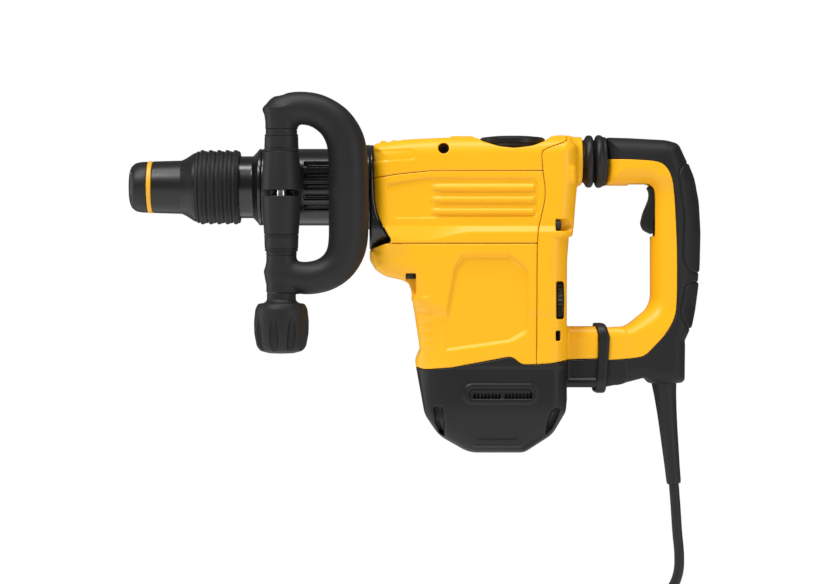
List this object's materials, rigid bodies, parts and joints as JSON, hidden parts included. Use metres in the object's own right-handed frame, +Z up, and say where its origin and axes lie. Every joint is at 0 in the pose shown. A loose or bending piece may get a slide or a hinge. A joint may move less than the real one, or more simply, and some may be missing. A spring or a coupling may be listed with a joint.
{
  "type": "demolition hammer",
  "caption": "Electric demolition hammer with an upright motor, quick-lock chuck, sprung D-shaped rear handle, swinging side handle and power cord.",
  "frame": {"origin": "middle of the rear grip, where the hand holds the tool", "axes": "+Z up, -X along the tool towards the chuck, +Y towards the side away from the side handle"},
  "size_m": [0.4856, 0.1886, 0.4621],
  "materials": {
    "shell_yellow": "satin moulded yellow plastic",
    "soft_black": "soft black overmould",
    "hard_black": "fine grained black plastic",
    "grip_black": "grained black glass-filled plastic",
    "barrel_black": "black painted light alloy",
    "rubber": "matt black rubber",
    "cord_rubber": "matt black cord sheath",
    "steel": "ground steel",
    "lamination": "stacked steel sheet",
    "alloy": "die-cast light alloy",
    "copper": "varnished copper",
    "carbon": "pressed carbon",
    "board_green": "lacquered circuit board"
  },
  "bodies": {
    "rear_handle": {"handle_shell_left": "shell_yellow", "handle_shell_right": "shell_yellow", "handle_overmould": "soft_black", "handle_screws": "steel", "switch_module": "hard_black", "guide_rod": "steel", "float_spring": "steel", "upper_bellows": "rubber", "lower_band": "rubber", "strain_relief": "rubber", "cord_runs": "cord_rubber", "cord_coil": "cord_rubber", "cord_tie": "hard_black", "plug_body": "rubber", "plug_pins": "steel"},
    "trigger": {"trigger": "hard_black"},
    "housing": {"motor_housing": "shell_yellow", "gearbox_shroud": "shell_yellow", "top_cover": "shell_yellow", "rear_cover": "shell_yellow", "base_cap": "hard_black", "front_collar": "soft_black", "gearbox_casting": "alloy", "barrel": "barrel_black", "barrel_nose": "barrel_black", "cylinder_sleeve": "steel", "field_stator": "lamination", "field_coils": "copper", "brush_carrier": "hard_black", "carbon_brushes": "carbon", "ball_bearings": "steel", "control_board": "board_green", "housing_screws": "steel", "pivot_pin": "steel"},
    "selector_dial": {"selector_dial": "hard_black"},
    "speed_wheel": {"speed_wheel": "hard_black"},
    "rotor": {"rotor_shaft": "steel", "armature": "lamination", "commutator": "copper", "cooling_fan": "hard_black"},
    "crank": {"crank_gear": "steel"},
    "piston": {"piston": "alloy", "wrist_pin": "steel"},
    "connecting_rod": {"connecting_rod": "alloy"},
    "striker": {"striker": "steel"},
    "spindle": {"spindle_tube": "steel", "lock_rollers": "steel", "dust_cap": "rubber", "marker_ring": "shell_yellow", "sleeve_spring": "steel"},
    "anvil": {"anvil": "steel"},
    "lock_sleeve": {"lock_sleeve": "barrel_black", "grip_ring": "rubber"},
    "side_clamp": {"clamp_band": "barrel_black", "clamp_jaws": "hard_black", "clamp_bolt": "steel"},
    "side_grip": {"side_grip": "grip_black", "detent_rings": "hard_black"},
    "thrust_washer": {"thrust_washer": "steel"},
    "clamp_knob": {"clamp_knob": "hard_black"}
  },
  "joints": [
    {"name": "handle_float", "type": "hinge", "parent": "rear_handle", "child": "housing", "pos_m": [-0.08, 0, -0.093], "axis": [0, 1, 0], "range_deg": [0, 2.5], "stiffness_Nm_per_rad": 600, "deforming": ["upper_bellows", "float_spring", "lower_band"]},
    {"name": "trigger_pull", "type": "hinge", "parent": "rear_handle", "child": "trigger", "pos_m": [-0.0165, 0, 0.0455], "axis": [0, -1, 0], "range_deg": [0, 11], "stiffness_Nm_per_rad": 0.6, "springref_deg": -6.88},
    {"name": "dial_turn", "type": "hinge", "parent": "housing", "child": "selector_dial", "pos_m": [-0.1373, 0, 0.081], "axis": [0, 0, 1], "range_deg": [0, 90]},
    {"name": "speed_turn", "type": "hinge", "parent": "housing", "child": "speed_wheel", "pos_m": [-0.0971, -0.025, -0.0448], "axis": [1, 0, 0], "range_deg": [0, 270]},
    {"name": "rotor_spin", "type": "hinge", "parent": "housing", "child": "rotor", "pos_m": [-0.157, 0, 0], "axis": [0, 0, 1], "continuous": true},
    {"name": "crank_spin", "type": "hinge", "parent": "housing", "child": "crank", "pos_m": [-0.1331, 0, 0.02], "axis": [0, 0, 1], "continuous": true},
    {"name": "piston_stroke", "type": "slide", "parent": "housing", "child": "piston", "axis": [-1, 0, 0], "range_m": [0, 0.026]},
    {"name": "rod_swing", "type": "hinge", "parent": "piston", "child": "connecting_rod", "pos_m": [-0.1801, 0, 0.05], "axis": [0, 0, 1], "range_deg": [-12.5, 12.5]},
    {"name": "striker_stroke", "type": "slide", "parent": "housing", "child": "striker", "axis": [-1, 0, 0], "range_m": [0, 0.033]},
    {"name": "spindle_turn", "type": "hinge", "parent": "housing", "child": "spindle", "pos_m": [-0.4, 0, 0.05], "axis": [1, 0, 0], "continuous": true},
    {"name": "anvil_slide", "type": "slide", "parent": "spindle", "child": "anvil", "axis": [-1, 0, 0], "range_m": [0, 0.006]},
    {"name": "sleeve_pull", "type": "slide", "parent": "spindle", "child": "lock_sleeve", "axis": [1, 0, 0], "range_m": [0, 0.01], "stiffness_N_per_m": 1500, "springref_m": -0.01, "deforming": ["sleeve_spring"]},
    {"name": "clamp_turn", "type": "hinge", "parent": "housing", "child": "side_clamp", "pos_m": [-0.3285, 0, 0.05], "axis": [1, 0, 0], "continuous": true},
    {"name": "grip_swing", "type": "hinge", "parent": "side_clamp", "child": "side_grip", "pos_m": [-0.3285, -0.052, 0.043], "axis": [0, 0, -1], "range_deg": [0, 180]},
    {"name": "knob_travel", "type": "slide", "parent": "side_clamp", "child": "thrust_washer", "axis": [0, 0, -1], "range_m": [0, 0.003]},
    {"name": "knob_turn", "type": "hinge", "parent": "thrust_washer", "child": "clamp_knob", "pos_m": [-0.3285, -0.052, -0.07], "axis": [0, 0, -1], "range_deg": [0, 720]}
  ],
  "couplings": [
    {"joint": "crank_spin", "follows": "rotor_spin", "ratio": -0.20513},
    {"joint": "knob_turn", "follows": "knob_travel", "rad_per_m": 4188.8}
  ]
}
